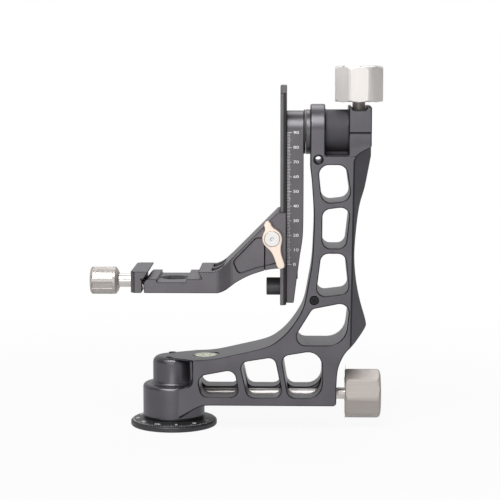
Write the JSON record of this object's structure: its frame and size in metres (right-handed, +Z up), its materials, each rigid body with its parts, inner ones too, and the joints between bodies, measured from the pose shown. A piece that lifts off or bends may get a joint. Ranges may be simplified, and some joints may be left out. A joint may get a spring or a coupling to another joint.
{
  "type": "gimbal tripod head",
  "caption": "Gimbal head that balances a long lens: a windowed L frame pans on a round base, a swing arm tilts, and a dovetail clamp rides its rail.",
  "frame": {"origin": "centre of the underside of the round base, at the mouth of its tripod thread", "axes": "+Z up along the pan axis, +X along the arm from the pan axis to the upright, the tilt axis parallel to X; +Y along the lens plate that the clamp holds"},
  "size_m": [0.2013, 0.06, 0.2497],
  "materials": {
    "base_plate": "satin black anodised",
    "thread_insert": "turned steel",
    "degree_ring": "satin black anodised",
    "pan_spindle": "turned steel",
    "spindle_screws": "turned steel",
    "pan_inner_races": "polished bearing steel",
    "spindle_nut": "turned steel",
    "frame": "satin dark grey anodised",
    "pan_outer_races": "polished bearing steel",
    "pan_bearing_balls": "polished bearing steel",
    "housing_seal": "matt black",
    "level_cup": "brushed, turned finish",
    "level_vial": "clear with pale green liquid",
    "frame_plug_screw": "black oxide",
    "pan_rod_bush": "machined bronze",
    "tilt_collar": "satin black anodised",
    "tilt_outer_races": "polished bearing steel",
    "tilt_bearing_balls": "polished bearing steel",
    "tilt_end_cap": "satin black anodised",
    "tilt_stem_bush": "machined bronze",
    "pan_brake_pad": "machined bronze",
    "pan_rod": "turned steel",
    "pan_knob": "brushed, turned finish",
    "tilt_brake_shoe": "machined bronze",
    "tilt_stem": "brushed, turned finish",
    "tilt_knob": "brushed, turned finish",
    "swing_arm": "satin dark grey anodised",
    "slip_washer": "matt black",
    "tilt_shaft": "turned steel",
    "tilt_inner_races": "polished bearing steel",
    "shaft_screw": "black oxide",
    "shaft_ring": "turned steel",
    "rail": "satin dark grey anodised",
    "rail_screws": "black oxide",
    "rail_stop_plate": "satin dark grey anodised",
    "stop_plate_screws": "black oxide",
    "rail_stop_screw": "black oxide",
    "cradle": "satin dark grey anodised",
    "clamp_nut": "machined bronze",
    "rail_jaw": "satin dark grey anodised",
    "lever_washer": "turned steel",
    "lever": "satin champagne anodised",
    "lever_screw": "brushed, turned finish",
    "clamp_jaw": "satin dark grey anodised",
    "jaw_guide_pins": "turned steel",
    "clamp_knob": "brushed, turned finish",
    "clamp_neck": "brushed, turned finish",
    "clamp_screw": "turned steel",
    "clamp_knob_cap": "black oxide"
  },
  "bodies": {
    "base": {"base_plate": "base_plate", "thread_insert": "thread_insert", "degree_ring": "degree_ring", "pan_spindle": "pan_spindle", "spindle_screws": "spindle_screws", "pan_inner_races": "pan_inner_races", "spindle_nut": "spindle_nut"},
    "frame": {"frame": "frame", "pan_outer_races": "pan_outer_races", "pan_bearing_balls": "pan_bearing_balls", "housing_seal": "housing_seal", "level_cup": "level_cup", "level_vial": "level_vial", "frame_plug_screw": "frame_plug_screw", "pan_rod_bush": "pan_rod_bush", "tilt_collar": "tilt_collar", "tilt_outer_races": "tilt_outer_races", "tilt_bearing_balls": "tilt_bearing_balls", "tilt_end_cap": "tilt_end_cap", "tilt_stem_bush": "tilt_stem_bush"},
    "pan_pad": {"pan_brake_pad": "pan_brake_pad"},
    "pan_lock": {"pan_rod": "pan_rod", "pan_knob": "pan_knob"},
    "tilt_pad": {"tilt_brake_shoe": "tilt_brake_shoe"},
    "tilt_lock": {"tilt_stem": "tilt_stem", "tilt_knob": "tilt_knob"},
    "swing": {"swing_arm": "swing_arm", "slip_washer": "slip_washer", "tilt_shaft": "tilt_shaft", "tilt_inner_races": "tilt_inner_races", "shaft_screw": "shaft_screw", "shaft_ring": "shaft_ring", "rail": "rail", "rail_screws": "rail_screws", "rail_stop_plate": "rail_stop_plate", "stop_plate_screws": "stop_plate_screws", "rail_stop_screw": "rail_stop_screw"},
    "cradle": {"cradle": "cradle", "clamp_nut": "clamp_nut"},
    "rail_clamp": {"rail_jaw": "rail_jaw", "lever_washer": "lever_washer"},
    "rail_lever": {"lever": "lever", "lever_screw": "lever_screw"},
    "lens_jaw": {"clamp_jaw": "clamp_jaw", "jaw_guide_pins": "jaw_guide_pins"},
    "clamp_drive": {"clamp_knob": "clamp_knob", "clamp_neck": "clamp_neck", "clamp_screw": "clamp_screw", "clamp_knob_cap": "clamp_knob_cap"}
  },
  "joints": [
    {"name": "pan", "type": "hinge", "parent": "base", "child": "frame", "pos_m": [0, 0, 0], "axis": [0, 0, 1], "continuous": true},
    {"name": "pan_pad_press", "type": "slide", "parent": "frame", "child": "pan_pad", "axis": [1, 0, 0], "range_m": [-0.00026, 0.00126]},
    {"name": "pan_knob_turn", "type": "hinge", "parent": "pan_pad", "child": "pan_lock", "pos_m": [0.12, 0, 0.02242], "axis": [1, 0, 0], "range_deg": [-72, 360]},
    {"name": "tilt_shoe_press", "type": "slide", "parent": "frame", "child": "tilt_pad", "axis": [0, 0, 1], "range_m": [-0.00026, 0.00126]},
    {"name": "tilt_knob_turn", "type": "hinge", "parent": "tilt_pad", "child": "tilt_lock", "pos_m": [0.12768, 0, 0.23], "axis": [0, 0, 1], "range_deg": [-72, 360]},
    {"name": "tilt", "type": "hinge", "parent": "frame", "child": "swing", "pos_m": [0.09, 0, 0.2045], "axis": [1, 0, 0], "continuous": true},
    {"name": "cradle_slide", "type": "slide", "parent": "swing", "child": "cradle", "axis": [0, 0, 1], "range_m": [-0.007, 0.074]},
    {"name": "rail_jaw_slide", "type": "slide", "parent": "cradle", "child": "rail_clamp", "axis": [0, -1, 0], "range_m": [0, 0.00034]},
    {"name": "rail_lever_turn", "type": "hinge", "parent": "rail_clamp", "child": "rail_lever", "pos_m": [0.06903, -0.025, 0.13352], "axis": [0, -1, 0], "range_deg": [0, 120]},
    {"name": "lens_jaw_slide", "type": "slide", "parent": "cradle", "child": "lens_jaw", "axis": [-1, 0, 0], "range_m": [-0.00067, 0.006]},
    {"name": "clamp_knob_turn", "type": "hinge", "parent": "lens_jaw", "child": "clamp_drive", "pos_m": [-0.05, 0, 0.10118], "axis": [-1, 0, 0], "range_deg": [-120, 1080]}
  ],
  "couplings": [
    {"joint": "pan_pad_press", "follows": "pan_knob_turn", "m_per_rad": 0.00019894},
    {"joint": "tilt_shoe_press", "follows": "tilt_knob_turn", "m_per_rad": 0.00019894},
    {"joint": "rail_jaw_slide", "follows": "rail_lever_turn", "m_per_rad": 0.00015915},
    {"joint": "lens_jaw_slide", "follows": "clamp_knob_turn", "m_per_rad": 0.00031831}
  ]
}
